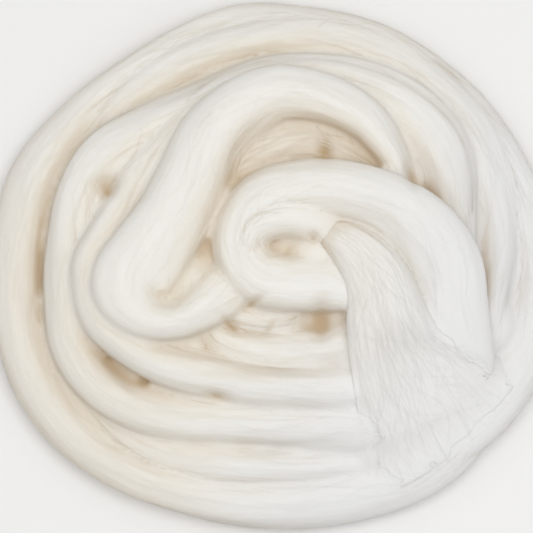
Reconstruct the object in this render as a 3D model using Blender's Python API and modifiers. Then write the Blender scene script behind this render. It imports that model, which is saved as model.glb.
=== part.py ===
"""Wool roving: one long soft strand of combed wool, wound loosely into a low nest, its free end laid over it.

Run with: blender --background --python part.py
Units are metres and +Z is up. The nest rests on z = 0, and its box is centred on the origin.
"""

import math
from collections import namedtuple

import bmesh
import bpy
from mathutils import Vector

MM = 0.001

# Driving dimensions
STRAND_SIDES = 16  # points around one section of the strand
STATION_STEP = 6 * MM  # distance between sections along the strand
FOLD_SHARE = 0.14  # depth of the strand's lengthwise fold, as a share of its height
FOLD_REACH = 0.16  # half width of that fold, as a share of the strand's width
FOLD_WANDER = 0.22  # how far the fold strays to each side, as a share of the strand's width
FOLD_WAVE = 260 * MM  # length over which the fold strays out and back
END_LENGTH = 14 * MM  # the strand's cut ends round off over this length
END_SHARE = 0.30  # size of the blunt tip, as a share of the full section
FUSE_VOXEL = 3.0 * MM  # grain at which touching turns are pressed into one body
KEEP_FACES = 0.15  # share of the fused faces that the form needs
CLEARANCE = 0.4 * MM  # space kept between the nest and the free end
FLOOR_BLOCK = 400 * MM  # side of the block that flattens the underside

# Undyed combed wool
WOOL_COLOUR = (0.83, 0.79, 0.72, 1.0)
WOOL_ROUGHNESS = 0.85

# Every table below is in millimetres: the strand's middle, then its width and height there.
Row = namedtuple("Row", "x y z width height")

# The crown: the strand rises in the middle and makes the topmost curl, then runs down the right side.
CROWN = (
    Row(62, -28, 30, 22, 20),
    Row(50, -20, 37, 25, 20),
    Row(36, -15, 42, 27, 22),
    Row(14, -14, 44, 28, 24),
    Row(-7, -12, 45, 28, 25),
    Row(-17, -2, 46, 27, 25),
    Row(-18, 13, 47, 28, 25),
    Row(-7, 28, 48, 30, 26),
    Row(13, 34, 48, 31, 26),
    Row(33, 33, 49, 33, 26),
    Row(54, 26, 49, 32, 25),
    Row(72, 13, 47, 34, 24),
    Row(84, -5, 43, 38, 24),
    Row(87, -24, 39, 40, 24),
    Row(88, -44, 33, 40, 24),
    Row(90, -66, 24, 36, 24),
    Row(89, -88, 15, 31, 24),
)
# The lowest and widest turn, lying on the surface.
FIRST_TURN = (
    Row(68, -106, 12, 30, 25),
    Row(37, -117, 12, 30, 25),
    Row(1, -121, 12, 30, 25),
    Row(-36, -117, 12, 30, 25),
    Row(-72, -105, 12, 30, 25),
    Row(-101, -86, 12, 30, 25),
    Row(-121, -59, 12, 30, 25),
    Row(-130, -26, 12, 30, 25),
    Row(-130, 7, 12, 30, 25),
    Row(-121, 42, 12, 30, 25),
    Row(-101, 70, 12, 30, 25),
    Row(-77, 91, 12, 30, 25),
    Row(-50, 108, 12, 30, 25),
    Row(-17, 120, 12, 30, 25),
    Row(20, 121, 12, 30, 25),
    Row(56, 111, 12, 30, 25),
    Row(88, 87, 12, 30, 25),
    Row(113, 56, 12, 30, 25),
    Row(127, 22, 12, 30, 25),
    Row(130, -14, 12, 30, 25),
    Row(121, -50, 13, 30, 25),
    Row(101, -77, 16, 30, 25),
)
SECOND_TURN = (
    Row(74, -92, 15, 29, 25),
    Row(40, -99, 14, 28, 25),
    Row(2, -101, 14, 28, 25),
    Row(-36, -98, 14, 28, 25),
    Row(-70, -88, 13, 28, 25),
    Row(-97, -66, 10, 26, 25),
    Row(-112, -34, 9, 26, 24),
    Row(-113, 4, 8, 26, 24),
    Row(-106, 37, 9, 27, 24),
    Row(-90, 65, 12, 28, 24),
    Row(-69, 86, 15, 28, 25),
    Row(-36, 104, 17, 27, 25),
    Row(4, 114, 17, 26, 25),
    Row(43, 110, 17, 26, 25),
    Row(79, 91, 17, 27, 25),
    Row(104, 60, 17, 28, 25),
    Row(114, 20, 17, 28, 25),
    Row(108, -20, 20, 28, 25),
    Row(94, -54, 23, 29, 25),
)
THIRD_TURN = (
    Row(60, -76, 26, 33, 25),
    Row(22, -79, 25, 34, 25),
    Row(-16, -79, 24, 33, 25),
    Row(-50, -78, 23, 31, 25),
    Row(-73, -73, 22, 28, 25),
    Row(-91, -61, 22, 27, 25),
    Row(-102, -43, 23, 27, 25),
    Row(-104, -20, 25, 27, 25),
    Row(-103, 6, 26, 28, 25),
    Row(-98, 32, 27, 31, 25),
    Row(-86, 52, 29, 31, 25),
    Row(-65, 66, 29, 28, 25),
    Row(-41, 79, 29, 26, 25),
    Row(-12, 93, 28, 25, 25),
    Row(14, 96, 28, 24, 25),
    Row(40, 93, 28, 24, 25),
    Row(63, 84, 28, 24, 25),
    Row(80, 70, 28, 25, 25),
    Row(90, 52, 27, 26, 25),
    Row(91, 24, 27, 26, 25),
    Row(90, -8, 27, 26, 25),
    Row(84, -36, 27, 24, 24),
)
FOURTH_TURN = (
    Row(62, -60, 31, 24, 22),
    Row(34, -65, 33, 22, 22),
    Row(10, -65, 34, 21, 22),
    Row(-10, -63, 34, 22, 22),
    Row(-31, -58, 35, 24, 22),
    Row(-54, -52, 36, 24, 22),
    Row(-74, -43, 37, 21, 22),
    Row(-88, -31, 36, 19, 22),
    Row(-94, -17, 34, 18, 22),
    Row(-94, -3, 34, 19, 22),
    Row(-87, 9, 33, 21, 22),
    Row(-77, 22, 33, 25, 22),
    Row(-69, 36, 33, 27, 22),
    Row(-60, 50, 33, 26, 22),
    Row(-46, 66, 33, 25, 22),
    Row(-26, 81, 34, 25, 22),
    Row(-2, 89, 35, 24, 22),
    Row(23, 91, 35, 23, 22),
    Row(45, 86, 35, 25, 22),
    Row(64, 75, 35, 28, 22),
    Row(79, 58, 35, 30, 22),
    Row(86, 38, 34, 29, 22),
    Row(86, 16, 32, 26, 20),
    Row(74, -8, 29, 22, 20),
)
# A short turn under the crown's lower edge, from which the strand climbs to the big bend.
UNDER_CROWN = (
    Row(58, -26, 30, 22, 20),
    Row(40, -38, 32, 23, 20),
    Row(21, -45, 33, 25, 20),
    Row(1, -47, 33, 25, 20),
    Row(-18, -44, 33, 24, 20),
    Row(-32, -36, 32, 22, 20),
    Row(-30, -27, 33, 20, 18),
    Row(-17, -29, 36, 20, 16),
    Row(-3, -31, 36, 21, 16),
    Row(8, -26, 32, 20, 16),
    Row(-6, -12, 29, 22, 18),
    Row(-28, -4, 32, 25, 20),
    Row(-36, 12, 35, 27, 20),
    Row(-30, 34, 36, 30, 20),
    Row(-9, 50, 37, 32, 20),
    Row(16, 58, 37, 32, 20),
    Row(42, 48, 36, 28, 20),
)
# The high fold that comes in from the top right, runs down the left of the crown and hooks back under it.
BIG_BEND = (
    Row(62, 35, 38, 19, 20),
    Row(55, 51, 41, 23, 23),
    Row(43, 67, 43, 28, 24),
    Row(24, 78, 44, 31, 25),
    Row(1, 82, 45, 32, 26),
    Row(-18, 74, 45, 35, 27),
    Row(-33, 59, 45, 39, 27),
    Row(-42, 38, 45, 42, 28),
    Row(-51, 18, 45, 44, 29),
    Row(-62, 0, 45, 46, 29),
    Row(-71, -16, 44, 43, 28),
    Row(-65, -28, 43, 28, 26),
    Row(-50, -31, 43, 22, 25),
    Row(-36, -22, 42, 31, 24),
    Row(-23, -11, 39, 36, 22),
    Row(-8, 0, 35, 28, 20),
)
# The inner coil of the crown, which the free end comes out of.
FREE_END_ROOT = (
    Row(-10, -8, 44, 16, 16),
    Row(-14, 2, 47, 18, 17),
    Row(-11, 12, 50, 20, 18),
    Row(1, 17, 51, 21, 18),
    Row(11, 17, 50, 21, 17),
    Row(18, 14, 47, 21, 15),
    Row(26, 9, 43, 20, 14),
    Row(34, 1, 40, 16, 12),
)
# The free end comes out of the crown's middle, lies over the right side and spreads into a thin fan.
FREE_END = (
    Row(15, 12, 43, 18, 16),
    Row(23, 11, 47, 21, 16),
    Row(35, 5, 49, 25, 17),
    Row(45, -6, 50, 31, 17),
    Row(52, -20, 50, 36, 16),
    Row(55, -34, 49, 42, 15),
    Row(60, -50, 47, 50, 13),
    Row(69, -65, 43, 68, 11),
    Row(81, -79, 36, 84, 9),
    Row(95, -93, 25, 86, 7),
)
# The turns buried under all the others are pressed into mounds: all round, inside and under the crown.
MOUNDS = (
    Row(0, 4, 0, 216, 44),
    Row(0, 4, 0, 160, 78),
    Row(14, 4, 38, 46, 22),
    Row(-50, -8, 36, 42, 28),
    Row(-35, 8, 33, 40, 24),
    Row(-42, -42, 30, 24, 24),
    Row(56, -8, 32, 50, 30),
    Row(72, 44, 26, 50, 26),
    Row(76, -76, 14, 46, 30),
    Row(-76, -54, 16, 46, 30),
    Row(-50, -62, 16, 42, 30),
    Row(32, -51, 22, 30, 26),
)


def smoothed(rows):
    """Rows in metres, about one step apart, on a smooth curve through the table's rows."""
    points = [tuple(value * MM for value in row) for row in rows]
    before_first = tuple(2 * a - b for a, b in zip(points[0], points[1]))
    after_last = tuple(2 * a - b for a, b in zip(points[-1], points[-2]))
    points = [before_first, *points, after_last]
    stations = []
    for p0, p1, p2, p3 in zip(points, points[1:], points[2:], points[3:]):
        pieces = max(1, round(math.dist(p1[:3], p2[:3]) / STATION_STEP))
        for t in (piece / pieces for piece in range(pieces)):
            values = (
                b + 0.5 * t * (c - a + t * (2 * a - 5 * b + 4 * c - d + t * (3 * (b - c) + d - a)))
                for a, b, c, d in zip(p0, p1, p2, p3)
            )
            stations.append(Row(*values))
    stations.append(Row(*points[-2]))
    return stations


def section(row, heading, size, fold_place):
    """Points around the strand at one station: an oval with a soft fold along its upper side."""
    side = heading.cross(Vector((0, 0, 1))).normalized()
    up = side.cross(heading).normalized()
    middle = Vector((row.x, row.y, row.z))
    points = []
    for index in range(STRAND_SIDES):
        angle = 2 * math.pi * index / STRAND_SIDES
        across = 0.5 * math.cos(angle)
        rise = 0.5 * math.sin(angle)
        if rise > 0:
            rise -= FOLD_SHARE * math.exp(-(((across - fold_place) / FOLD_REACH) ** 2))
        offset = side * across * row.width + up * rise * row.height
        points.append(middle + offset * size)
    return points


def strand_mesh(rows, grow=0.0):
    """A closed strand along the rows, its cut ends rounded off; grow thickens it all round."""
    stations = [
        row._replace(width=row.width + 2 * grow, height=row.height + 2 * grow) for row in smoothed(rows)
    ]
    places = [Vector((row.x, row.y, row.z)) for row in stations]
    run = [0.0]
    for a, b in zip(places, places[1:]):
        run.append(run[-1] + (b - a).length)
    mesh = bmesh.new()
    rings = []
    for index, row in enumerate(stations):
        heading = (places[min(index + 1, len(places) - 1)] - places[max(index - 1, 0)]).normalized()
        reach = min(1.0, min(run[index], run[-1] - run[index]) / END_LENGTH)
        size = END_SHARE + (1 - END_SHARE) * math.sqrt(1 - (1 - reach) ** 2)
        fold_place = FOLD_WANDER * math.sin(2 * math.pi * run[index] / FOLD_WAVE)
        rings.append([mesh.verts.new(p) for p in section(row, heading, size, fold_place)])
    for ring, following in zip(rings, rings[1:]):
        for index in range(STRAND_SIDES):
            after = (index + 1) % STRAND_SIDES
            mesh.faces.new((ring[index], ring[after], following[after], following[index]))
    mesh.faces.new(rings[0])
    mesh.faces.new(reversed(rings[-1]))
    bmesh.ops.recalc_face_normals(mesh, faces=mesh.faces)
    return mesh


def mound_mesh(mound):
    """A mound of buried turns, as a flattened ball. The floor block removes what is under the surface."""
    mesh = bmesh.new()
    bmesh.ops.create_uvsphere(mesh, u_segments=32, v_segments=16, radius=0.5)
    bmesh.ops.scale(mesh, vec=Vector((mound.width, mound.width, mound.height)) * MM, verts=mesh.verts)
    bmesh.ops.translate(mesh, vec=Vector((mound.x, mound.y, mound.z)) * MM, verts=mesh.verts)
    return mesh


def add_object(name, meshes, collection, material=None):
    """One object from one or more meshes, which are freed."""
    joined = bmesh.new()
    for mesh in meshes:
        piece = bpy.data.meshes.new(name)
        mesh.to_mesh(piece)
        mesh.free()
        joined.from_mesh(piece)
        bpy.data.meshes.remove(piece)
    data = bpy.data.meshes.new(name)
    joined.to_mesh(data)
    joined.free()
    data.shade_smooth()
    if material:
        data.materials.append(material)
    obj = bpy.data.objects.new(name, data)
    collection.objects.link(obj)
    return obj


def add_cutter(name, mesh, collection):
    """A helper that cuts another object and isn't part of the model."""
    obj = add_object(name, [mesh], collection)
    obj.hide_render = True
    obj.display_type = "WIRE"
    return obj


def block_mesh():
    """A cube whose top face is the surface that the nest rests on."""
    mesh = bmesh.new()
    bmesh.ops.create_cube(mesh, size=FLOOR_BLOCK)
    bmesh.ops.translate(mesh, vec=Vector((0, 0, -FLOOR_BLOCK / 2)), verts=mesh.verts)
    return mesh


def cut(obj, cutter):
    modifier = obj.modifiers.new("cut_" + cutter.name, "BOOLEAN")
    modifier.operation = "DIFFERENCE"
    modifier.solver = "EXACT"
    modifier.object = cutter


def wool_material(name):
    material = bpy.data.materials.new(name)
    material.use_nodes = True
    shader = material.node_tree.nodes["Principled BSDF"]
    shader.inputs["Base Color"].default_value = WOOL_COLOUR
    shader.inputs["Roughness"].default_value = WOOL_ROUGHNESS
    shader.inputs["Metallic"].default_value = 0.0
    return material


def keep_largest_body(mesh):
    """Fills the small air pockets that fusing leaves inside, by deleting their walls."""
    bodies = []
    left = set(mesh.verts)
    while left:
        body = {left.pop()}
        edge_of_body = list(body)
        while edge_of_body:
            vert = edge_of_body.pop()
            for edge in vert.link_edges:
                other = edge.other_vert(vert)
                if other in left:
                    left.remove(other)
                    body.add(other)
                    edge_of_body.append(other)
        bodies.append(body)
    largest = max(bodies, key=len)
    bmesh.ops.delete(mesh, geom=[v for v in mesh.verts if v not in largest], context="VERTS")


def fuse(obj):
    """Presses the object's touching turns into one body and thins its faces out."""
    remesh = obj.modifiers.new("fuse", "REMESH")
    remesh.mode = "VOXEL"
    remesh.voxel_size = FUSE_VOXEL
    thin_out = obj.modifiers.new("thin_out", "DECIMATE")
    thin_out.ratio = KEEP_FACES
    graph = bpy.context.evaluated_depsgraph_get()
    fused = bpy.data.meshes.new_from_object(obj.evaluated_get(graph))
    obj.modifiers.clear()
    mesh = bmesh.new()
    mesh.from_mesh(fused)
    bpy.data.meshes.remove(fused)
    keep_largest_body(mesh)
    mesh.to_mesh(obj.data)
    mesh.free()
    obj.data.shade_smooth()


def clear_scene():
    for obj in list(bpy.data.objects):
        bpy.data.objects.remove(obj, do_unlink=True)


def main():
    clear_scene()
    parts = bpy.data.collections.new("wool_roving")
    cutters = bpy.data.collections.new("cutters")
    cutters.hide_render = True
    for collection in (parts, cutters):
        bpy.context.scene.collection.children.link(collection)

    floor_block = add_cutter("floor_block", block_mesh(), cutters)
    free_end_space = add_cutter("free_end_space", strand_mesh(FREE_END, CLEARANCE), cutters)

    laps = CROWN + FIRST_TURN + SECOND_TURN + THIRD_TURN + FOURTH_TURN
    laps += UNDER_CROWN + BIG_BEND + FREE_END_ROOT
    turns = [strand_mesh(laps), *(mound_mesh(mound) for mound in MOUNDS)]
    nest = add_object("roving_nest", turns, parts, wool_material("wool_nest"))
    fuse(nest)
    cut(nest, floor_block)
    cut(nest, free_end_space)

    add_object("free_end", [strand_mesh(FREE_END)], parts, wool_material("wool_free_end"))


main()
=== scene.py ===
import math
from collections import namedtuple

import bmesh
import bpy
import numpy as np
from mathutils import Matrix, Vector
from mathutils.bvhtree import BVHTree
from mathutils.kdtree import KDTree


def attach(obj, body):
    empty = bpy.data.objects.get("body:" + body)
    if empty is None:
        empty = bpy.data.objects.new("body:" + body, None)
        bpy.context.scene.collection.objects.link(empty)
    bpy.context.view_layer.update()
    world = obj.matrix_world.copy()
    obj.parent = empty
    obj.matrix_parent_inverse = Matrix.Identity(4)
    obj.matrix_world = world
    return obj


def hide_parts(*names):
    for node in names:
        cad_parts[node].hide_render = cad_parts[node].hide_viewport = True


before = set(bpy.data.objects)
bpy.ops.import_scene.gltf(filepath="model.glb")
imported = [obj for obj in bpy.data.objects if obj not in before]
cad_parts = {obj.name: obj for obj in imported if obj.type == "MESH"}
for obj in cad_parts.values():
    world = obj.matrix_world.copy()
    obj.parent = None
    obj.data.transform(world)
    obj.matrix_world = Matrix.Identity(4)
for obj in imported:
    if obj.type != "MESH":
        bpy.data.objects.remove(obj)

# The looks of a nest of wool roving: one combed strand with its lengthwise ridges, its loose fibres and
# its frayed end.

MM = 0.001

# ---------------------------------------------------------------- the strand's route
# Every table is in millimetres: the strand's middle, then its width and height there.
Row = namedtuple("Row", "x y z width height")

# The crown: the strand rises in the middle and makes the topmost curl, then runs down the right side.
CROWN = (
    Row(62, -28, 30, 22, 20),
    Row(50, -20, 37, 25, 20),
    Row(36, -15, 42, 27, 22),
    Row(14, -14, 44, 28, 24),
    Row(-7, -12, 45, 28, 25),
    Row(-17, -2, 46, 27, 25),
    Row(-18, 13, 47, 28, 25),
    Row(-7, 28, 48, 30, 26),
    Row(13, 34, 48, 31, 26),
    Row(33, 33, 49, 33, 26),
    Row(54, 26, 49, 32, 25),
    Row(72, 13, 47, 34, 24),
    Row(84, -5, 43, 38, 24),
    Row(87, -24, 39, 40, 24),
    Row(88, -44, 33, 40, 24),
    Row(90, -66, 24, 36, 24),
    Row(89, -88, 15, 31, 24),
)
# The lowest and widest turn, lying on the surface.
FIRST_TURN = (
    Row(68, -106, 12, 30, 25),
    Row(37, -117, 12, 30, 25),
    Row(1, -121, 12, 30, 25),
    Row(-36, -117, 12, 30, 25),
    Row(-72, -105, 12, 30, 25),
    Row(-101, -86, 12, 30, 25),
    Row(-121, -59, 12, 30, 25),
    Row(-130, -26, 12, 30, 25),
    Row(-130, 7, 12, 30, 25),
    Row(-121, 42, 12, 30, 25),
    Row(-101, 70, 12, 30, 25),
    Row(-77, 91, 12, 30, 25),
    Row(-50, 108, 12, 30, 25),
    Row(-17, 120, 12, 30, 25),
    Row(20, 121, 12, 30, 25),
    Row(56, 111, 12, 30, 25),
    Row(88, 87, 12, 30, 25),
    Row(113, 56, 12, 30, 25),
    Row(127, 22, 12, 30, 25),
    Row(130, -14, 12, 30, 25),
    Row(121, -50, 13, 30, 25),
    Row(101, -77, 16, 30, 25),
)
SECOND_TURN = (
    Row(74, -94, 15, 29, 25),
    Row(40, -102, 14, 27, 25),
    Row(2, -104, 14, 26, 25),
    Row(-36, -101, 14, 27, 25),
    Row(-70, -90, 13, 28, 25),
    Row(-97, -66, 10, 26, 25),
    Row(-112, -34, 9, 26, 24),
    Row(-113, 4, 8, 26, 24),
    Row(-106, 37, 9, 27, 24),
    Row(-90, 65, 12, 28, 24),
    Row(-69, 86, 15, 28, 25),
    Row(-36, 104, 17, 27, 25),
    Row(4, 114, 17, 26, 25),
    Row(43, 110, 17, 26, 25),
    Row(79, 91, 17, 27, 25),
    Row(104, 60, 17, 28, 25),
    Row(114, 20, 17, 28, 25),
    Row(108, -20, 20, 28, 25),
    Row(94, -54, 23, 29, 25),
)
THIRD_TURN = (
    Row(60, -76, 26, 33, 25),
    Row(22, -79, 25, 34, 25),
    Row(-16, -79, 24, 33, 25),
    Row(-50, -78, 23, 31, 25),
    Row(-73, -73, 22, 28, 25),
    Row(-91, -61, 22, 27, 25),
    Row(-102, -43, 23, 27, 25),
    Row(-104, -20, 25, 27, 25),
    Row(-103, 6, 26, 28, 25),
    Row(-98, 32, 27, 31, 25),
    Row(-86, 52, 29, 31, 25),
    Row(-65, 66, 29, 28, 25),
    Row(-41, 79, 29, 26, 25),
    Row(-12, 93, 28, 25, 25),
    Row(14, 96, 28, 24, 25),
    Row(40, 93, 28, 24, 25),
    Row(63, 84, 28, 24, 25),
    Row(80, 70, 28, 25, 25),
    Row(90, 52, 27, 26, 25),
    Row(91, 24, 27, 26, 25),
    Row(90, -8, 27, 26, 25),
    Row(84, -36, 27, 24, 24),
)
FOURTH_TURN = (
    Row(62, -60, 31, 24, 22),
    Row(34, -65, 33, 22, 22),
    Row(10, -65, 34, 21, 22),
    Row(-10, -63, 34, 22, 22),
    Row(-31, -58, 35, 24, 22),
    Row(-54, -52, 36, 24, 22),
    Row(-74, -43, 37, 21, 22),
    Row(-88, -31, 36, 19, 22),
    Row(-94, -17, 34, 18, 22),
    Row(-94, -3, 34, 19, 22),
    Row(-87, 9, 33, 21, 22),
    Row(-77, 22, 33, 25, 22),
    Row(-69, 36, 33, 27, 22),
    Row(-60, 50, 33, 26, 22),
    Row(-46, 66, 33, 25, 22),
    Row(-26, 81, 34, 25, 22),
    Row(-2, 89, 35, 24, 22),
    Row(23, 91, 35, 23, 22),
    Row(45, 86, 35, 25, 22),
    Row(64, 75, 35, 28, 22),
    Row(79, 58, 35, 30, 22),
    Row(86, 38, 34, 29, 22),
    Row(86, 16, 32, 26, 20),
    Row(74, -8, 29, 22, 20),
)
# A short turn under the crown's lower edge, from which the strand climbs to the big bend.
UNDER_CROWN = (
    Row(58, -26, 30, 22, 20),
    Row(40, -38, 32, 23, 20),
    Row(21, -45, 33, 25, 20),
    Row(1, -47, 33, 25, 20),
    Row(-18, -44, 33, 24, 20),
    Row(-32, -36, 32, 22, 20),
    Row(-30, -27, 33, 20, 18),
    Row(-17, -29, 36, 20, 16),
    Row(-3, -31, 36, 21, 16),
    Row(8, -26, 32, 20, 16),
    Row(-6, -12, 29, 22, 18),
    Row(-28, -4, 32, 25, 20),
    Row(-36, 12, 35, 27, 20),
    Row(-30, 34, 36, 30, 20),
    Row(-9, 50, 37, 32, 20),
    Row(16, 58, 37, 32, 20),
    Row(42, 48, 36, 28, 20),
)
# The high fold that comes in from the top right, runs down the left of the crown and hooks back under it.
BIG_BEND = (
    Row(62, 35, 38, 19, 20),
    Row(55, 51, 41, 23, 23),
    Row(43, 67, 43, 28, 24),
    Row(24, 78, 44, 31, 25),
    Row(1, 82, 45, 32, 26),
    Row(-18, 74, 45, 35, 27),
    Row(-33, 59, 45, 39, 27),
    Row(-42, 38, 45, 42, 28),
    Row(-51, 18, 45, 44, 29),
    Row(-62, 0, 45, 46, 29),
    Row(-71, -16, 44, 43, 28),
    Row(-65, -28, 43, 28, 26),
    Row(-50, -31, 43, 22, 25),
    Row(-36, -22, 42, 31, 24),
    Row(-23, -11, 39, 36, 22),
    Row(-8, 0, 35, 28, 20),
)
# The inner coil of the crown, which the free end comes out of.
FREE_END_ROOT = (
    Row(-10, -8, 44, 16, 16),
    Row(-14, 2, 47, 18, 17),
    Row(-11, 12, 50, 20, 18),
    Row(1, 17, 51, 21, 18),
    Row(11, 17, 51, 21, 17),
    Row(20, 14, 49, 21, 16),
    Row(30, 8, 45, 20, 14),
    Row(40, -3, 42, 18, 12),
)
# The free end comes out of the crown's middle, lies over the right side and spreads into a thin fan.
FREE_END = (
    Row(12, 13, 43, 9, 10),
    Row(21, 12, 45, 14, 13),
    Row(34, 6, 48, 23, 17),
    Row(45, -6, 50, 31, 17),
    Row(52, -20, 50, 36, 16),
    Row(55, -34, 49, 42, 15),
    Row(60, -50, 47, 50, 13),
    Row(69, -65, 43, 68, 11),
    Row(81, -79, 36, 88, 9),
    Row(99, -98, 25, 98, 7),
)

# The strand is made in one go; its loose fibres are made as these pieces, which meet under the free end.
TURNS = (
    ("crown_and_first_turn", CROWN + FIRST_TURN),
    ("second_and_third_turn", SECOND_TURN + THIRD_TURN),
    ("fourth_turn_and_bend", FOURTH_TURN + UNDER_CROWN + BIG_BEND + FREE_END_ROOT),
)

# The turns buried under all the others are pressed together into mounds, which show only through the gaps.
MOUNDS = (
    Row(0, 4, 0, 216, 44),
    Row(0, 4, 0, 160, 78),
    Row(14, 4, 38, 46, 22),
    Row(-50, -8, 36, 42, 28),
    Row(-35, 8, 33, 40, 24),
    Row(-42, -42, 30, 24, 24),
    Row(56, -8, 32, 50, 30),
    Row(72, 44, 26, 50, 26),
    Row(76, -76, 14, 46, 30),
    Row(-76, -54, 15, 46, 29),
    Row(-50, -62, 15, 42, 29),
    Row(32, -51, 22, 30, 26),
    Row(41, -46, 28, 34, 32),
    Row(26, -30, 28, 34, 24),
    Row(44, -36, 34, 26, 26),
    Row(19, -1, 41, 26, 20),
    Row(30, -5, 41, 22, 20),
    Row(104, -60, 12, 40, 34),
    Row(104, -32, 14, 40, 38),
    Row(88, -78, 16, 34, 21),
    Row(48, -93, 15, 28, 27),
    Row(57, -102, 15, 28, 20),
    Row(72, -94, 16, 34, 22),
    Row(86, -80, 16, 30, 22),
    Row(95, -80, 7, 32, 14),
    Row(109, -64, 7, 32, 14),
)
# Narrow gaps between the turns that go down into the shade. Slant is how far each one's length turns from x,
# and shade is the share of the light that it loses.
# The shade of each gap is painted into the wool's colour.
Pit = namedtuple("Pit", "x y length width slant depth shade")
PITS = (
    Pit(-86, 37, 14, 9, 0, 4, 0.4),
    Pit(-85, 33, 6, 6, -50, 4, 0.5),
    Pit(-80, -56, 20, 6, -50, 4, 0.15),
    Pit(-30, -69, 12, 4, -12, 5, 0.55),
    Pit(24, 54, 7, 12, 0, 6, 0.5),
    Pit(67, 40, 6, 13, 15, 6, 0.5),
    Pit(18, 8, 5, 5, -40, 3, 0.4),
    Pit(6, 2, 8, 6, 60, 3, 0.3),
    Pit(22, -33, 18, 10, 90, 5, 0.6),
    Pit(-12, -24, 11, 4, 27, 3, 0.45),
    Pit(-23, -35, 10, 4, -40, 3, 0.5),
    Pit(-13, -39, 22, 4, -8, 1.5, 0.3),
    Pit(-4, -36, 9, 3, 50, 1, 0.3),
    Pit(-36, -44, 10, 4, -60, 1.5, 0.35),
    Pit(-34, 20, 74, 18, 65, 0, 0.18),
    Pit(67, -12, 50, 6, -70, 0.5, 0.2),
    Pit(-51, 88, 85, 8, 24, 0.5, 0.18),
    Pit(-3, -59, 60, 7, 0, 0.5, 0.2),
)

# ---------------------------------------------------------------- the strand's surface
STATION = 2.2 * MM  # distance between sections along the strand
SIDES = 64  # points around one section
MOUND_RINGS = 24
PIT_FLOOR = 22 * MM  # the gaps are only in wool above this height
# The shade on the side turned from the light, and the light on the outer wall's foot, are painted into the
# wool's colour.
OUTER_HEADING = (-0.85, -0.5)  # the side of the nest that is turned away from the light
OUTER_START = 60 * MM  # how far out on that side its shade begins, and where it is full
OUTER_FULL = 125 * MM
OUTER_SHADE = 0.1
FOOT_OPENNESS = 0.7  # the least that the nest's outer wall has, which the pale surface below lights
FOOT_START = 0.99  # where that wall begins and where it is fully lit so, as shares of the rim
FOOT_FULL = 1.04
END_LENGTH = 14 * MM  # length over which an end of the strand is rounded
END_SHARE = 0.30  # the strand's size at its very end, as a share of its full size
# Soft folds that lie side by side around the strand: how far out each one's middle is, and its radius,
# both as shares of the strand's half width.
Lobe = namedtuple("Lobe", "out size")
LOBES = (Lobe(0.24, 0.76), Lobe(0.36, 0.62), Lobe(0.42, 0.55), Lobe(0.30, 0.70), Lobe(0.40, 0.58))
LOBE_WANDER = 95 * MM  # length over which a lobe drifts, swells and shrinks
TWIST_LENGTH = 700 * MM  # length of one whole turn of the lobes
CREASE_SOFTNESS = 0.09  # rounding of the creases between lobes, as a share of the half width
REACH_SCALE = 0.97  # brings the lobed section's mean radius to 1
SWELL = 0.08  # how much the strand swells and shrinks along its length, as a share


def smoothed(rows, step):
    """Values about a step apart on a smooth curve through the table's rows, and each row's place in them."""
    points = np.array(rows, float) * MM
    points = np.vstack([2 * points[0] - points[1], points, 2 * points[-1] - points[-2]])
    found, starts = [], [0]
    for p0, p1, p2, p3 in zip(points, points[1:], points[2:], points[3:]):
        pieces = max(1, round(float(np.linalg.norm(p2[:3] - p1[:3])) / step))
        t = (np.arange(pieces) / pieces)[:, None]
        bend = 2 * p0 - 5 * p1 + 4 * p2 - p3 + t * (3 * (p1 - p2) + p3 - p0)
        found.append(p1 + 0.5 * t * (p2 - p0 + t * bend))
        starts.append(starts[-1] + pieces)
    return np.vstack([*found, points[-2:-1]]), starts


def eased(share):
    share = np.clip(share, 0, 1)
    return share * share * (3 - 2 * share)


def wander(rng, run, cell):
    """Smooth noise from -1 to 1 along the strand, with a new value about once in each cell's length."""
    u = (run - run.min()) / cell
    values = rng.uniform(-1, 1, int(u.max()) + 4)
    i = np.floor(u).astype(int)
    f = eased(u - i)
    return values[i] * (1 - f) + values[i + 1] * f


def relief(rng, run, around, cell, cells):
    """Smooth noise from -1 to 1 over the strand: drawn out along it, with so many cells around it."""
    rows = int(run[-1] / cell) + 4
    values = rng.uniform(-1, 1, (rows, cells))
    u = run / cell
    v = around * cells
    i = np.floor(u).astype(int)
    j = np.floor(v).astype(int)
    fu = eased(u - i)[:, None]
    fv = eased(v - j)[None, :]
    i, j = i[:, None], j[None, :]
    low = values[i, j % cells] * (1 - fu) + values[i + 1, j % cells] * fu
    high = values[i, (j + 1) % cells] * (1 - fu) + values[i + 1, (j + 1) % cells] * fu
    return low * (1 - fv) + high * fv


def frames(places):
    """The strand's heading at each place, and the directions to its side and its top."""
    heading = np.gradient(places, axis=0)
    heading /= np.linalg.norm(heading, axis=1, keepdims=True)
    side = np.cross(heading, (0.0, 0.0, 1.0))
    side /= np.linalg.norm(side, axis=1, keepdims=True)
    return heading, side, np.cross(side, heading)


def run_along(places):
    """Length of the strand from its start to each place."""
    return np.concatenate([[0], np.cumsum(np.linalg.norm(np.diff(places, axis=0), axis=1))])


def lobed_reach(rng, run, turn):
    """How far the strand's surface is from its middle at each place, where 1 is its plain oval."""
    total = 0
    for index, lobe in enumerate(LOBES):
        place = 2 * np.pi * (index / len(LOBES) + run / TWIST_LENGTH) + 0.8 * wander(rng, run, LOBE_WANDER)
        out = lobe.out * (1 + 0.18 * wander(rng, run, LOBE_WANDER))
        size = lobe.size * (1 + 0.16 * wander(rng, run, LOBE_WANDER))
        along = out[:, None] * np.cos(turn[None, :] - place[:, None])
        aside = out[:, None] * np.sin(turn[None, :] - place[:, None])
        edge = np.sqrt(np.maximum(size[:, None] ** 2 - aside**2, 0)) + along
        edge = np.where(np.abs(aside) < size[:, None], edge, 0)
        total = total + np.exp(edge / CREASE_SOFTNESS)
    return CREASE_SOFTNESS * np.log(total) * REACH_SCALE


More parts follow.
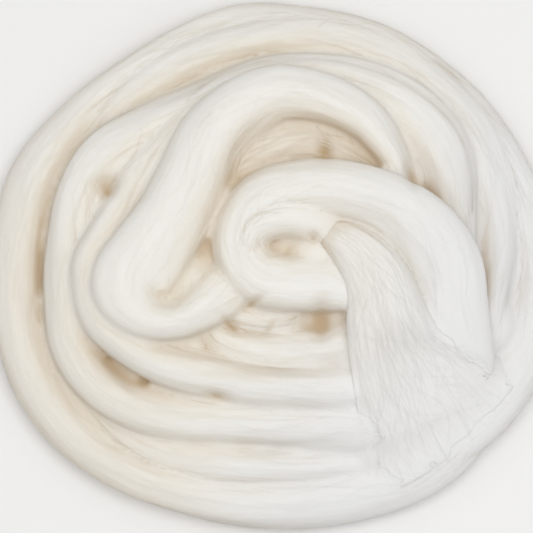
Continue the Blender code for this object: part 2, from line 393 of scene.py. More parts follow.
def rounded(from_end):
    """The strand's size near its end, as a share of its full size."""
    share = np.minimum(1, from_end / END_LENGTH)
    return END_SHARE + (1 - END_SHARE) * np.sqrt(1 - (1 - share) ** 2)


def strand_grid(rows, seed, sides):
    """Points of the strand's surface, one row for each station and one column for each place around it."""
    rng = np.random.default_rng(seed)
    stations, starts = smoothed(rows, STATION)
    places = stations[:, :3]
    run = run_along(places)
    heading, side, up = frames(places)
    around = np.arange(sides) / sides
    turn = 2 * np.pi * around
    width = stations[:, 3] * (1 + SWELL * wander(rng, run, 42 * MM))
    height = stations[:, 4] * (1 + SWELL * wander(rng, run, 55 * MM))
    reach = lobed_reach(rng, run, turn)
    fine = relief(rng, run, around, 60 * MM, 20) * 0.3 * MM
    fine += relief(rng, run, around, 45 * MM, 41) * 0.15 * MM
    size = rounded(np.minimum(run, run[-1] - run))[:, None]
    across = (0.5 * width[:, None] * reach + fine) * np.cos(turn) * size
    rise = (0.5 * height[:, None] * reach + fine) * np.sin(turn) * size
    grid = places[:, None] + across[..., None] * side[:, None] + rise[..., None] * up[:, None]
    grid[..., 2] = np.maximum(grid[..., 2], 0)
    return grid, run, starts


def mound_grid(mound, sides):
    """A flattened ball, cut off by the surface that the nest rests on."""
    rise = np.linspace(-0.49, 0.49, MOUND_RINGS)[:, None] * np.pi
    turn = 2 * np.pi * np.arange(sides)[None, :] / sides
    x = mound.x + 0.5 * mound.width * np.cos(rise) * np.cos(turn)
    y = mound.y + 0.5 * mound.width * np.cos(rise) * np.sin(turn)
    z = np.broadcast_to(mound.z + 0.5 * mound.height * np.sin(rise), x.shape)
    return np.stack([x, y, np.maximum(z, 0)], axis=-1) * MM


# ---------------------------------------------------------------- the free end
SPREAD_START = 55 * MM  # run along the fan where it begins to lie on the turns below
SPREAD_FULL = 108 * MM
FRAY_LENGTH = 40 * MM  # the last part of the fan, whose locks end at different places
FRAY_REACH = 1.5 * MM
# How a fan lies on what is below: how high over it, how often its hollows are smoothed, and how far its
# crests may poke through. The bed is the wool that fills the turns' hollows under the free end.
Lay = namedtuple("Lay", "cover passes slack")
BED = Lay(cover=2.7 * MM, passes=9, slack=2 * MM)
FAN = Lay(cover=0.4 * MM, passes=4, slack=0)
EDGE_SINK = 0.8 * MM  # how far their edges sink between the fibres below
RIM = (137 * MM, 128 * MM)  # half the nest's width and depth at the line where the fan ends
FAN_OPENNESS = (1.0, 0.8, 0.82)  # painted light and shade along its middle: its edges have that of the wool below
EDGE_OPENNESS = (0.9, 0.62)  # the least that its outer edge and its inner edge have
FAN_TOP = (0.08, 0.42)  # the part of the way round the fan that faces up
BED_WIDTH = (0.8, 1.1)  # width of that bed at its two ends, as a share of the fan's
BED_DEPTH = 1.3 * MM  # how far below the fan's surface the nest's own wool comes up to meet it
ABOVE = 200 * MM  # higher than anything in the nest
DOWN = Vector((0, 0, -1))


def height_below(pile, x, y):
    """Height of the first thing below a place, or 0 where there is nothing."""
    hit = pile.ray_cast(Vector((x, y, ABOVE)), DOWN)[0]
    return hit.z if hit else 0.0


def averaged(field, passes):
    """The field, each value averaged with its neighbours along and around as often as asked."""
    for _ in range(passes):
        field = (field + np.roll(field, 1, axis=1) + np.roll(field, -1, axis=1)) / 3
        padded = np.vstack([field[:1], field, field[-1:]])
        field = (padded[:-2] + padded[1:-1] + padded[2:]) / 3
    return field


def fan_grid(rows, pile, lay, seed, sides):
    """The free end's surface: a soft strand that opens into a thin fan, which lies on the turns below."""
    rng = np.random.default_rng(seed)
    stations, _ = smoothed(rows, STATION)
    places = stations[:, :3]
    run = run_along(places)
    heading, side, up = frames(places)
    around = np.arange(sides) / sides
    turn = 2 * np.pi * np.arange(sides) / sides
    spread = eased((run - SPREAD_START) / (SPREAD_FULL - SPREAD_START))[:, None]
    grown = rounded(run)[:, None]
    ridges = relief(rng, run, around, 70 * MM, 9) * 0.13 * MM
    ridges += relief(rng, run, around, 50 * MM, 31) * 0.015 * MM
    aside = 0.5 * stations[:, 3:4] * np.cos(turn) * grown
    thick = (0.5 * stations[:, 4:5] + ridges) * np.sin(turn) * grown
    locks = np.interp(np.cos(turn), np.linspace(-1, 1, 14), rng.uniform(-1, 1, 14))
    late = eased((run - run[-1] + FRAY_LENGTH) / FRAY_LENGTH)[:, None]
    flat = places[:, None] + aside[..., None] * side[:, None]
    flat = flat + heading[:, None] * (late * locks * FRAY_REACH)[..., None]
    beyond = np.hypot(flat[..., 0] / RIM[0], flat[..., 1] / RIM[1])
    flat[..., :2] /= np.maximum(beyond, 1)[..., None]
    hung = flat + thick[..., None] * up[:, None]
    below = np.array([[height_below(pile, x, y) for x, y, _ in row] for row in flat.tolist()])
    edge = np.maximum(np.abs(np.cos(turn)) ** 4, late**4)
    bridged = np.maximum(averaged(below, lay.passes), below - lay.slack)
    laid = bridged * (1 - edge) + below * edge
    top = (lay.cover + ridges * 0.5) * (1 - edge) - EDGE_SINK * edge
    upper = np.sin(turn) > 0
    laid = laid + np.where(upper, top, -2 * EDGE_SINK)
    grid = hung * (1 - spread[..., None]) + flat * spread[..., None]
    grid[..., 2] = hung[..., 2] * (1 - spread) + laid * spread
    grid[..., 2] = np.where(upper & (spread > 0), np.maximum(grid[..., 2], laid), grid[..., 2])
    grid[..., 2] = np.maximum(grid[..., 2], 0.3 * MM)
    return grid, run


# ---------------------------------------------------------------- how open each place is to the light, which is painted into the wool's colour as shade
OPEN_REACH = 100 * MM  # only what stands this near darkens a place
OPEN_RAYS = 16
OPEN_STRIDE = 2  # openness is worked out at every second point, and smoothed between


def surface_normals(grid):
    """Directions out of the grid's surface."""
    along = np.gradient(grid, axis=0)
    around = np.roll(grid, -1, axis=1) - np.roll(grid, 1, axis=1)
    normals = np.cross(around, along)
    middle = grid.mean(axis=1, keepdims=True)
    normals *= np.sign(np.sum(normals * (grid - middle), axis=(1, 2), keepdims=True))
    return normals / np.maximum(np.linalg.norm(normals, axis=2, keepdims=True), 1e-12)


def grid_faces(count, sides):
    """Faces between neighbouring rows and columns; the columns run right round."""
    a = np.arange(count - 1)[:, None] * sides
    j = np.arange(sides)[None, :]
    k = (j + 1) % sides
    return np.stack([a + j, a + k, a + sides + k, a + sides + j], axis=-1).reshape(-1, 4)


def light_blockers(grids):
    """A search tree of all the strands and the surface that they lie on."""
    points, faces, start = [], [], 0
    for grid in grids:
        coarse = grid[::OPEN_STRIDE, ::OPEN_STRIDE]
        points.append(coarse.reshape(-1, 3))
        faces.append(grid_faces(*coarse.shape[:2]) + start)
        start += len(points[-1])
    floor = np.array([(-1, -1, 0), (1, -1, 0), (1, 1, 0), (-1, 1, 0)], float)
    points.append(floor)
    faces.append(np.arange(4)[None, :] + start)
    return BVHTree.FromPolygons(np.vstack(points).tolist(), np.vstack(faces).tolist())


def openness_of(grid, blockers, rng):
    """Openness of the grid's points, worked out at every second one and smoothed between them."""
    coarse = grid[::OPEN_STRIDE, ::OPEN_STRIDE]
    normals = surface_normals(grid)[::OPEN_STRIDE, ::OPEN_STRIDE].reshape(-1, 3)
    found = open_share(coarse.reshape(-1, 3), normals, blockers, rng).reshape(coarse.shape[:2])
    found = averaged(found, 3)
    rows = np.arange(grid.shape[0]) / OPEN_STRIDE
    low = np.minimum(rows.astype(int), found.shape[0] - 1)
    high = np.minimum(low + 1, found.shape[0] - 1)
    part = (rows - low)[:, None]
    found = found[low] * (1 - part) + found[high] * part
    columns = np.arange(grid.shape[1]) / OPEN_STRIDE
    low = columns.astype(int)
    high = (low + 1) % found.shape[1]
    part = (columns - low)[None, :]
    return found[:, low] * (1 - part) + found[:, high] * part


def open_share(points, normals, blockers, rng):
    """The share of the sky over each point that nothing near it blocks."""
    starts = points + normals * 0.4 * MM
    lift = np.sqrt((np.arange(OPEN_RAYS) + 0.5) / OPEN_RAYS)
    spread = np.sqrt(1 - lift**2)
    golden = np.arange(OPEN_RAYS) * np.pi * (3 - math.sqrt(5))
    helper = np.where(np.abs(normals[:, 2:]) < 0.9, (0.0, 0.0, 1.0), (1.0, 0.0, 0.0))
    side = np.cross(normals, helper)
    side /= np.linalg.norm(side, axis=1, keepdims=True)
    front = np.cross(normals, side)
    start_turn = rng.uniform(0, 2 * np.pi, len(normals))
    found = np.ones(len(normals))
    for index, (start, normal) in enumerate(zip(starts, normals)):
        turn = golden + start_turn[index]
        rays = np.outer(lift, normal) + np.outer(spread * np.cos(turn), side[index])
        rays += np.outer(spread * np.sin(turn), front[index])
        origin = Vector(start)
        hits = sum(blockers.ray_cast(origin, Vector(ray), OPEN_REACH)[0] is not None for ray in rays.tolist())
        found[index] = 1 - hits / OPEN_RAYS
    return found


def mesh_openness(mesh, blockers, rng):
    """Openness of a mesh's points, averaged with their neighbours'."""
    count = len(mesh.vertices)
    points = np.empty(count * 3, np.float32)
    normals = np.empty(count * 3, np.float32)
    mesh.vertices.foreach_get("co", points)
    mesh.vertices.foreach_get("normal", normals)
    found = open_share(points.reshape(-1, 3), normals.reshape(-1, 3), blockers, rng)
    ends = np.empty(len(mesh.edges) * 2, np.int32)
    mesh.edges.foreach_get("vertices", ends)
    ends = ends.reshape(-1, 2)
    for _ in range(4):
        total = found + np.bincount(ends[:, 0], found[ends[:, 1]], count)
        total = total + np.bincount(ends[:, 1], found[ends[:, 0]], count)
        found = total / (1 + np.bincount(ends.ravel(), minlength=count))
    return found


def grid_mesh(name, grid, run, openness):
    """A closed mesh of a strand's grid, with its length and its way round as UVs."""
    count, sides = grid.shape[:2]
    start = grid[0].mean(axis=0)
    end = grid[-1].mean(axis=0)
    points = np.vstack([grid.reshape(-1, 3), start, end])
    quads = grid_faces(count, sides)
    last = (count - 1) * sides
    caps = [(count * sides, (i + 1) % sides, i) for i in range(sides)]
    caps += [(count * sides + 1, last + i, last + (i + 1) % sides) for i in range(sides)]
    mesh = bpy.data.meshes.new(name)
    mesh.from_pydata(points.tolist(), [], quads.tolist() + caps)
    layer = mesh.uv_layers.new(name="strand")
    u = np.broadcast_to(run[:, None], (count, sides + 1))
    v = np.broadcast_to((np.arange(sides + 1) / sides)[None, :], (count, sides + 1))
    uv = np.stack([u, v], axis=-1)
    i0 = np.broadcast_to(np.arange(count - 1)[:, None], (count - 1, sides))
    j0 = np.broadcast_to(np.arange(sides)[None, :], (count - 1, sides))
    corners = np.stack([uv[i0, j0], uv[i0, j0 + 1], uv[i0 + 1, j0 + 1], uv[i0 + 1, j0]], axis=2)
    cap_uv = np.zeros((len(caps) * 3, 2))
    layer.data.foreach_set("uv", np.vstack([corners.reshape(-1, 2), cap_uv]).astype(np.float32).ravel())
    add_fields(mesh, np.append(openness.ravel(), (0.5, 0.5)))
    mesh.shade_smooth()
    mesh.validate()
    return mesh


# ---------------------------------------------------------------- where a cooler, greyer shade is painted on the wool
COOL_HEADING = (0.8, -0.45)
COOL_START = -10 * MM  # how far out that way the painted shade begins to be cooler, and where it is fully so
COOL_FULL = 90 * MM


def add_fields(mesh, openness):
    """Writes each point's openness, and how much cooler, greyer shade is painted there: the free end's side
    gets the cooler one.
    """
    points = np.empty(len(mesh.vertices) * 3, np.float32)
    mesh.vertices.foreach_get("co", points)
    along = points.reshape(-1, 3)[:, :2] @ np.array(COOL_HEADING)
    cool = eased((along - COOL_START) / (COOL_FULL - COOL_START))
    for name, values in (("openness", openness), ("cool", cool)):
        layer = mesh.attributes.new(name, "FLOAT", "POINT")
        layer.data.foreach_set("value", values.astype(np.float32))


# ---------------------------------------------------------------- the nest's body
MATTED_REACH = 0.6 * MM  # radius with which matted fibres round the creases between the turns
BODY_VOXEL = 1.45 * MM


def closed_mesh(name, grids):
    """The strands' surfaces, each closed at its two ends."""
    points, faces, start = [], [], 0
    for grid in grids:
        count, sides = grid.shape[:2]
        points += [grid.reshape(-1, 3), grid[0].mean(axis=0)[None], grid[-1].mean(axis=0)[None]]
        around = np.arange(sides)
        over = (around + 1) % sides
        low = np.stack([np.full(sides, count * sides), over, around], axis=1)
        last = (count - 1) * sides
        high = np.stack([np.full(sides, count * sides + 1), last + around, last + over], axis=1)
        for part in (grid_faces(count, sides), low, high):
            faces += (part + start).tolist()
        start += count * sides + 2
    mesh = bpy.data.meshes.new(name)
    mesh.from_pydata(np.vstack(points).tolist(), [], faces)
    return mesh


def outer_shell(mesh):
    """Deletes what the remesh left inside: every body of the mesh but the one with most points."""
    ends = np.empty(len(mesh.edges) * 2, np.int32)
    mesh.edges.foreach_get("vertices", ends)
    ends = ends.reshape(-1, 2)
    label = np.arange(len(mesh.vertices))
    while True:
        low = np.minimum(label[ends[:, 0]], label[ends[:, 1]])
        new = label.copy()
        np.minimum.at(new, ends[:, 0], low)
        np.minimum.at(new, ends[:, 1], low)
        new = new[new]
        if (new == label).all():
            break
        label = new
    names, counts = np.unique(label, return_counts=True)
    keep = label == names[np.argmax(counts)]
    bm = bmesh.new()
    bm.from_mesh(mesh)
    bm.verts.ensure_lookup_table()
    bmesh.ops.delete(bm, geom=[v for v in bm.verts if not keep[v.index]], context="VERTS")
    bm.to_mesh(mesh)
    bm.free()


def mesh_tree(mesh):
    """A search tree of the mesh's faces."""
    points = [tuple(vertex.co) for vertex in mesh.vertices]
    return BVHTree.FromPolygons(points, [tuple(face.vertices) for face in mesh.polygons])


def openness_under(mesh, grid):
    """Openness of the mesh's point that is nearest to each point of the grid."""
    places = KDTree(len(mesh.vertices))
    for index, vertex in enumerate(mesh.vertices):
        places.insert(vertex.co, index)
    places.balance()
    values = mesh.attributes["openness"].data
    return np.array([[values[places.find(point)[1]].value for point in row] for row in grid.tolist()])


def sink_pits(mesh, openness):
    """Lowers the mesh where a narrow gap goes down between the turns and paints shade there; paints the outer
    wall's foot lighter and the side turned from the light darker; gives the new openness.
    """
    count = len(mesh.vertices)
    points = np.empty(count * 3, np.float32)
    mesh.vertices.foreach_get("co", points)
    points = points.reshape(-1, 3)
    for pit in PITS:
        slant = math.radians(pit.slant)
        x, y = points[:, 0] - pit.x * MM, points[:, 1] - pit.y * MM
        along = (x * math.cos(slant) + y * math.sin(slant)) / (0.5 * pit.length * MM)
        aside = (y * math.cos(slant) - x * math.sin(slant)) / (0.5 * pit.width * MM)
        near = np.exp(-(along**2) - aside**2) * (points[:, 2] > PIT_FLOOR)
        points[:, 2] -= near * pit.depth * MM
        # Painted shade: the gap darkens the wool's colour.
        openness = openness * (1 - pit.shade * near)
    mesh.vertices.foreach_set("co", points.ravel())
    # Painted light: the foot of the outer wall, which the pale surface below lights, is painted lighter.
    beyond = np.hypot(points[:, 0] / RIM[0], points[:, 1] / RIM[1])
    foot = FOOT_OPENNESS * eased((beyond - FOOT_START) / (FOOT_FULL - FOOT_START))
    openness = np.maximum(openness, foot)
    # Painted shade on the side of the nest turned away from the light.
    outer = points[:, :2] @ np.array(OUTER_HEADING)
    return openness * (1 - OUTER_SHADE * eased((outer - OUTER_START) / (OUTER_FULL - OUTER_START)))


def body_mesh(name, grid, run, fillings, blockers, rng):
    """All the turns as one body with soft creases. Its UVs are the nearest turn's run and way round."""
    fat = [form + surface_normals(form) * MATTED_REACH for form in (grid, *fillings)]
    raw = closed_mesh(name + "_raw", fat)
    helper = bpy.data.objects.new(name + "_raw", raw)
    bpy.context.scene.collection.objects.link(helper)
    remesh = helper.modifiers.new("remesh", "REMESH")
    remesh.mode = "VOXEL"
    remesh.voxel_size = BODY_VOXEL
    first = helper.modifiers.new("smooth", "SMOOTH")
    first.factor = 0.5
    first.iterations = 1
    shrink = helper.modifiers.new("shrink", "DISPLACE")
    shrink.mid_level = 0
    shrink.strength = -MATTED_REACH
    last = helper.modifiers.new("smooth", "SMOOTH")
    last.factor = 0.5
    last.iterations = 2
    mesh = bpy.data.meshes.new_from_object(helper.evaluated_get(bpy.context.evaluated_depsgraph_get()))
    mesh.name = name
    bpy.data.objects.remove(helper)
    bpy.data.meshes.remove(raw)
    outer_shell(mesh)
    add_strand_uv(mesh, grid, run)
    add_fields(mesh, sink_pits(mesh, mesh_openness(mesh, blockers, rng)))
    mesh.shade_smooth()
    return mesh


UV_JUMP = (0.02, 0.2)  # a face whose corners lie further apart than this, along or around, spans two turns


def add_strand_uv(mesh, grid, run):
    """Gives the mesh the run and the way round of the nearest place on the strand."""
    count, sides = grid.shape[:2]
    across = (np.arange(sides) / sides + 0.25) % 1
    values = np.stack(np.broadcast_arrays(run[:, None], across[None, :]), axis=-1).reshape(-1, 2)
    places = KDTree(count * sides)
    for index, point in enumerate(grid.reshape(-1, 3).tolist()):
        places.insert(point, index)
    places.balance()
    nearest = np.array([places.find(vertex.co)[1] for vertex in mesh.vertices])
    corners = np.empty(len(mesh.loops), np.int32)
    mesh.loops.foreach_get("vertex_index", corners)
    first = np.empty(len(mesh.polygons), np.int32)
    sizes = np.empty(len(mesh.polygons), np.int32)
    mesh.polygons.foreach_get("loop_start", first)
    mesh.polygons.foreach_get("loop_total", sizes)
    uv = values[nearest[corners]]
    lead = np.repeat(uv[first], sizes, axis=0)
    jump = (np.abs(uv - lead) > UV_JUMP).any(axis=1)
    uv[jump] = lead[jump]
    layer = mesh.uv_layers.new(name="strand")
    layer.data.foreach_set("uv", uv.astype(np.float32).ravel())


# ---------------------------------------------------------------- loose fibres on the strand
FIBRE_STEPS = 6  # segments in one fibre
FIBRE_OPENNESS = 0.35  # below this openness the strand is buried, and has no loose fibres
# Fibres that lie along the strand, and fewer that stray from it and lift at their tips.
Fibres = namedtuple("Fibres", "count length lift tip_lift half_width drift")
LAID = Fibres(11000, 34 * MM, 0.4 * MM, 0.5 * MM, 0.065 * MM, 0.05)
STRAY = Fibres(2500, 38 * MM, 0.6 * MM, 3.5 * MM, 0.05 * MM, 0.16)
FIBRE_NEST_LENGTH = 4.8  # metres of strand that the counts above are for

# The loose fibres that spread from the free end over the lower right of the nest: where the edge and
# the inner lines of the spread start, turn and end, in millimetres.
Guide = namedtuple("Guide", "start_x start_y turn_x turn_y end_x end_y")
VEIL = (
    Guide(37, -22, 31, -57, 42, -95),
    Guide(44, -17, 49, -62, 65, -104),
    Guide(54, -17, 64, -62, 88, -100),
    Guide(64, -22, 78, -58, 105, -85),
    Guide(74, -37, 90, -57, 113, -66),
)
VEIL_COUNT = 120
VEIL_STEPS = 9
VEIL_HALF_WIDTH = 0.05 * MM


def sample(field, rows, columns):
    """The grid field's value at fractional rows and columns; columns run round and round."""
    top = field.shape[0] - 1
    rows = np.clip(rows, 0, top)
    i = np.minimum(rows.astype(int), top - 1)
    j = np.floor(columns).astype(int)
    fi = (rows - i)[..., None]
    fj = (columns - j)[..., None]
    around = field.shape[1]
    values = field if field.ndim == 3 else field[..., None]
    low = values[i, j % around] * (1 - fi) + values[i + 1, j % around] * fi
    high = values[i, (j + 1) % around] * (1 - fi) + values[i + 1, (j + 1) % around] * fi
    found = low * (1 - fj) + high * fj
    return found if field.ndim == 3 else found[..., 0]


def ribbons(middle, outward, half):
    """Points and faces of thin ribbons along rows of middle points, facing outward."""
    heading = np.gradient(middle, axis=1)
    side = np.cross(heading, outward)
    side /= np.maximum(np.linalg.norm(side, axis=2, keepdims=True), 1e-9)
    points = np.stack([middle - side * half[..., None], middle + side * half[..., None]], axis=2)
    steps = middle.shape[1] - 1
    base = np.arange(len(points))[:, None] * 2 * (steps + 1) + np.arange(steps)[None, :] * 2
    faces = np.stack([base, base + 1, base + 3, base + 2], axis=-1).reshape(-1, 4)
    return points.reshape(-1, 3), faces


def lies_under(cover, middle):
    """Whether each row of points runs through the covering mesh's outline, seen from above."""
    spots = middle[:, ::3, :2].tolist()
    return np.array([any(height_below(cover, x, y) for x, y in row) for row in spots])


def fibre_strips(grid, openness, kind, rng, sector, cover):
    """Points, faces and openness of thin ribbons that follow the strand and start in one sector of it."""
    count, sides = grid.shape[:2]
    normals = surface_normals(grid)
    t = np.linspace(0, 1, FIBRE_STEPS + 1)[None, :]
    length = kind.length * rng.uniform(0.5, 1.5, (kind.count, 1))
    first = rng.uniform(0, count - 1, (kind.count, 1))
    rows = first + (t - 0.5) * length / STATION
    start = rng.uniform(*sector, (kind.count, 1))
    slant = rng.normal(0, kind.drift, (kind.count, 1))
    bend = rng.normal(0, kind.drift * 0.6, (kind.count, 1))
    columns = (start + slant * (t - 0.5) + bend * (t - 0.5) ** 2 * 2) * sides
    tip = np.abs(2 * t - rng.uniform(0.4, 1.6, (kind.count, 1))) ** 2
    lift = kind.lift * rng.uniform(0.2, 1.8, (kind.count, 1))
    lift = lift + kind.tip_lift * rng.uniform(0, 1, (kind.count, 1)) * tip
    outward = sample(normals, rows, columns)
    middle = sample(grid, rows, columns) + outward * lift[..., None]
    half = kind.half_width * rng.uniform(0.5, 1.6, (kind.count, 1)) * (1 - 0.8 * np.abs(2 * t - 1) ** 3)
    inside = ((rows < 1) | (rows > count - 2)).any(axis=1)
    open_enough = sample(openness, first, start * sides)[:, 0] > FIBRE_OPENNESS
    keep = ~inside & open_enough & (middle[..., 2].min(axis=1) > 0.2 * MM)
    if cover:
        keep &= ~lies_under(cover, middle)
    points, faces = ribbons(middle[keep], outward[keep], half[keep])
    # The fibres carry the strand's painted shade.
    shade = np.repeat(sample(openness, rows, columns)[keep].ravel(), 2)
    return points, faces, shade


def veil_strips(pile, rng):
    """Long loose fibres that lie over the turns below the free end, from its body to the rim of the nest."""
    guides = np.array(VEIL, float) * MM
    where = rng.uniform(0, len(VEIL) - 1, (VEIL_COUNT, 1))
    index = np.minimum(where.astype(int), len(VEIL) - 2)[:, 0]
    part = where - index[:, None]
    line = guides[index] * (1 - part) + guides[index + 1] * part
    line = line + rng.normal(0, 3.0 * MM, line.shape)
    begin = rng.uniform(0.0, 0.72, (VEIL_COUNT, 1))
    end = begin + rng.uniform(0.25, 0.55, (VEIL_COUNT, 1))
    steps = np.linspace(0, 1, VEIL_STEPS + 1)[None, :]
    t = np.minimum(begin + (end - begin) * steps, 1.06)[..., None]
    start, turn, stop = line[:, None, 0:2], line[:, None, 2:4], line[:, None, 4:6]
    flat = start * (1 - t) ** 2 + 2 * turn * t * (1 - t) + stop * t**2
    wave = rng.normal(0, 1.2 * MM, (VEIL_COUNT, 1, 2)) * np.sin(steps * np.pi)[..., None]
    flat = flat + wave
    low = np.array([[height_below(pile, x, y) for x, y in row] for row in flat.tolist()])
    low = low + rng.uniform(0.2, 0.9, (VEIL_COUNT, 1)) * MM
    level = low.copy()
    for _ in range(5):
        level[:, 1:-1] = np.maximum(low[:, 1:-1], 0.5 * (level[:, :-2] + level[:, 2:]))
    middle = np.concatenate([flat, level[..., None]], axis=2)
    outward = np.broadcast_to(np.array([0.0, 0.0, 1.0]), middle.shape)
    half = VEIL_HALF_WIDTH * rng.uniform(0.4, 1.6, (VEIL_COUNT, 1)) * (1 - 0.9 * np.abs(2 * steps - 1) ** 3)
    points, faces = ribbons(middle, outward, half)
    # Painted shade: every veil fibre gets the same fixed tone.
    return points, faces, np.full(len(points), 0.9)


def fibre_mesh(name, points, faces, shade):
    mesh = bpy.data.meshes.new(name)
    mesh.from_pydata(points.tolist(), [], faces.tolist())
    add_fields(mesh, shade)
    mesh.shade_smooth()
    return mesh


# ---------------------------------------------------------------- the wool
# Painted shade: colours from the places deepest in the shade to the open ones, on the nest's warmer side and
# on its cooler, greyer-shaded side.
Tone = namedtuple("Tone", "openness warm cool")
TONES = (
    Tone(0.30, (0.60, 0.47, 0.31, 1), (0.60, 0.50, 0.38, 1)),
    Tone(0.68, (0.775, 0.715, 0.62, 1), (0.77, 0.757, 0.735, 1)),
    Tone(0.90, (0.855, 0.825, 0.765, 1), (0.832, 0.83, 0.823, 1)),
    Tone(1.00, (0.885, 0.87, 0.835, 1), (0.85, 0.852, 0.85, 1)),
)


def tone_ramp(nodes, colours):
    tint = nodes.new("ShaderNodeValToRGB")
    ramp = tint.color_ramp
    ramp.interpolation = "EASE"
    for _ in TONES[2:]:
        ramp.elements.new(0.5)
    for element, tone, colour in zip(ramp.elements, TONES, colours):
        element.position = tone.openness
        element.color = colour
    return tint


def wool_material(name, soft, relief_share):
    material = bpy.data.materials.new(name)
    material.use_nodes = True
    nodes, links = material.node_tree.nodes, material.node_tree.links
    shader = nodes["Principled BSDF"]
    shader.inputs["Roughness"].default_value = 0.9
    shader.inputs["Specular IOR Level"].default_value = 0.1
    shader.inputs["Sheen Weight"].default_value = 0.2
    shader.inputs["Sheen Roughness"].default_value = 0.6
    shader.inputs["Subsurface Weight"].default_value = soft
    shader.inputs["Subsurface Radius"].default_value = (1.0, 1.0, 1.0)
    shader.inputs["Subsurface Scale"].default_value = 1.4 * MM
    uv = nodes.new("ShaderNodeUVMap")
    uv.uv_map = "strand"
    stretch = nodes.new("ShaderNodeMapping")
    stretch.inputs["Scale"].default_value = (40, 60, 1)
    links.new(uv.outputs["UV"], stretch.inputs["Vector"])
    fibres = nodes.new("ShaderNodeTexNoise")
    fibres.inputs["Scale"].default_value = 1.0
    fibres.inputs["Detail"].default_value = 4.0
    links.new(stretch.outputs["Vector"], fibres.inputs["Vector"])
    bump = nodes.new("ShaderNodeBump")
    bump.inputs["Strength"].default_value = relief_share
    bump.inputs["Distance"].default_value = 0.6 * MM
    links.new(fibres.outputs["Fac"], bump.inputs["Height"])
    links.new(bump.outputs["Normal"], shader.inputs["Normal"])
    # Painted shade: the openness to the light darkens the base colour to tan in the creases and gaps between
    # the turns.
    openness = nodes.new("ShaderNodeAttribute")
    openness.attribute_name = "openness"
    warm = tone_ramp(nodes, [tone.warm for tone in TONES])
    cool = tone_ramp(nodes, [tone.cool for tone in TONES])
    # Painted shade: the free end's side is painted in the cooler, greyer tones.
    side = nodes.new("ShaderNodeAttribute")
    side.attribute_name = "cool"
    mix = nodes.new("ShaderNodeMix")
    mix.data_type = "RGBA"
    links.new(openness.outputs["Fac"], warm.inputs["Fac"])
    links.new(openness.outputs["Fac"], cool.inputs["Fac"])
    links.new(side.outputs["Fac"], mix.inputs["Factor"])
    links.new(warm.outputs["Color"], mix.inputs["A"])
    links.new(cool.outputs["Color"], mix.inputs["B"])
    links.new(mix.outputs["Result"], shader.inputs["Base Color"])
    return material


# ---------------------------------------------------------------- the studio
CAMERA_ELEVATION = math.radians(82)
CAMERA_DISTANCE = 1.4
VIEW_WIDTH = 266.5 * MM  # width of the picture at the aim's distance
CAMERA_AIM = Vector((-5.25 * MM, -4.9 * MM, 40 * MM))


def add_camera():
    data = bpy.data.cameras.new("camera")
    data.sensor_width = 36
    data.lens = data.sensor_width * CAMERA_DISTANCE / VIEW_WIDTH
    data.clip_start = 0.05
    data.clip_end = 20
    camera = bpy.data.objects.new("camera", data)
    bpy.context.scene.collection.objects.link(camera)
    back = Vector((0, -math.cos(CAMERA_ELEVATION), math.sin(CAMERA_ELEVATION)))
    camera.location = CAMERA_AIM + back * CAMERA_DISTANCE
    camera.rotation_mode = "QUATERNION"
    camera.rotation_quaternion = (-back).to_track_quat("-Z", "Y")
    bpy.context.scene.camera = camera


def add_light(name, place, size, watts, colour):
    data = bpy.data.lights.new(name, "AREA")
    data.shape = "DISK"
    data.size = size
    data.energy = watts
    data.color = colour
    light = bpy.data.objects.new(name, data)
    light.location = place
    light.rotation_mode = "QUATERNION"
    light.rotation_quaternion = (-Vector(place)).to_track_quat("-Z", "Y")
    bpy.context.scene.collection.objects.link(light)


WORLD_STRENGTH = 0.67
HORIZON = (0.24, 0.20, 0.15, 1)  # the surroundings at the horizon, against white overhead


def add_studio():
    scene = bpy.context.scene
    scene.view_settings.view_transform = "Standard"
    world = bpy.data.worlds.new("studio")
    world.use_nodes = True
    nodes, links = world.node_tree.nodes, world.node_tree.links
    background = nodes["Background"]
    background.inputs["Strength"].default_value = WORLD_STRENGTH
    direction = nodes.new("ShaderNodeTexCoord")
    parts = nodes.new("ShaderNodeSeparateXYZ")
    links.new(direction.outputs["Generated"], parts.inputs["Vector"])
    dome = nodes.new("ShaderNodeValToRGB")
    dome.color_ramp.elements[0].color = HORIZON
    dome.color_ramp.elements[1].color = (1, 1, 1, 1)
    dome.color_ramp.elements[1].position = 0.7
    links.new(parts.outputs["Z"], dome.inputs["Fac"])
    links.new(dome.outputs["Color"], background.inputs["Color"])
    scene.world = world
    add_light("softbox", (0.1, -0.06, 1.3), 0.9, 7.2, (1, 0.998, 0.99))
    bpy.ops.mesh.primitive_plane_add(size=6)
    floor = bpy.context.object
    floor.name = "floor"
    material = bpy.data.materials.new("floor_paper")
    material.use_nodes = True
    shader = material.node_tree.nodes["Principled BSDF"]
    shader.inputs["Base Color"].default_value = (0.9, 0.9, 0.9, 1)
    shader.inputs["Roughness"].default_value = 0.95
    floor.data.materials.append(material)


def add(name, mesh, material):
    obj = bpy.data.objects.new(name, mesh)
    obj.data.materials.append(material)
    bpy.context.scene.collection.objects.link(obj)
    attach(obj, "root")
    return obj


def add_fibres(name, grid, run, openness, material, rng, sector=(0, 1), cover=None):
    share = run[-1] / FIBRE_NEST_LENGTH
    made = []
    for kind_name, kind in (("laid", LAID), ("stray", STRAY)):
        fewer = kind._replace(count=round(kind.count * share))
        piece_name = name + "_" + kind_name
        strips = fibre_strips(grid, openness, fewer, rng, sector, cover)
        made.append(add(piece_name, fibre_mesh(piece_name, *strips), material))
    return made


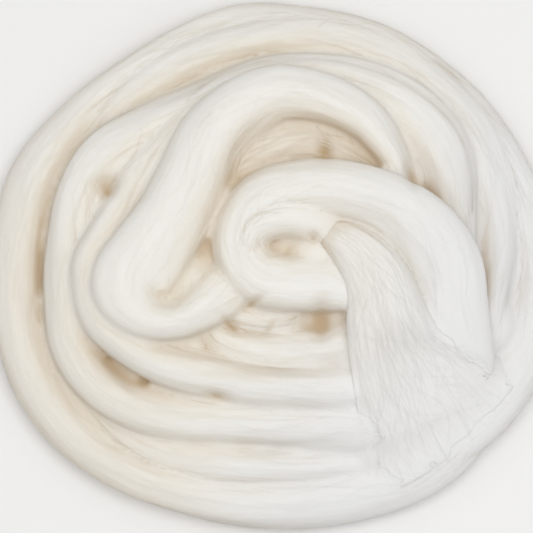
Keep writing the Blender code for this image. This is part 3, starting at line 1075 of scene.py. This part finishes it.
def bed_rows():
    """The rows of the bed, which is narrower than the free end at its start and wider at its end."""
    widths = np.linspace(*BED_WIDTH, len(FREE_END))
    return [row._replace(width=row.width * share) for row, share in zip(FREE_END, widths)]


def main():
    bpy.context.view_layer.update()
    add_camera()
    add_studio()
    rng = np.random.default_rng(3)
    wool = wool_material("wool", 1.0, 0.5)
    fan_wool = wool_material("fan_wool", 0.0, 0.06)
    fibre = wool_material("fibre", 0.0, 0.0)
    grid, run, starts = strand_grid(sum((rows for _, rows in TURNS), ()), 7, SIDES)
    mounds = [mound_grid(mound, SIDES) for mound in MOUNDS]
    grids = [grid, *mounds]
    pile = light_blockers(grids)
    bed = fan_grid(bed_rows(), pile, BED, 11, SIDES)[0]
    bed[..., 2] -= BED_DEPTH
    blockers = light_blockers([*grids, bed])
    mesh = body_mesh("nest_body", grid, run, [*mounds, bed], blockers, rng)
    fan, fan_run = fan_grid(FREE_END, mesh_tree(mesh), FAN, 11, SIDES)
    body = add("nest_body", mesh, wool)
    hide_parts("roving_nest")
    lying = eased(fan_run / SPREAD_START)[:, None]
    aside = np.cos(2 * np.pi * np.arange(SIDES) / SIDES)
    edge = np.maximum(np.abs(aside) ** 4, eased(2 * fan_run / fan_run[-1] - 1)[:, None])
    under = np.maximum(openness_under(mesh, fan), np.where(aside > 0, *EDGE_OPENNESS))
    # Painted light and shade on the fan: fixed tones along its middle, and the wool's painted shade below at
    # its edges.
    middle = np.interp(fan_run / fan_run[-1], (0, 0.5, 1), FAN_OPENNESS)[:, None]
    laid = middle * (1 - edge) + under * edge
    openness = openness_of(fan, blockers, rng) * (1 - lying) + laid * lying
    sheet = add("fan", grid_mesh("fan", fan, fan_run, openness), fan_wool)
    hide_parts("free_end")
    loose = add_fibres("fan", fan, fan_run, openness, fibre, rng, FAN_TOP)
    loose.append(add("veil", fibre_mesh("veil", *veil_strips(blockers, rng)), fibre))
    cover = mesh_tree(sheet.data)
    openness = openness_of(grid, blockers, rng)
    row = 0
    for name, rows in TURNS:
        first = starts[row]
        row = min(row + len(rows), len(starts) - 1)
        part = slice(first, starts[row] + 1)
        turn_run = run[part] - run[first]
        add_fibres(name, grid[part], turn_run, openness[part], fibre, rng, cover=cover)


main()
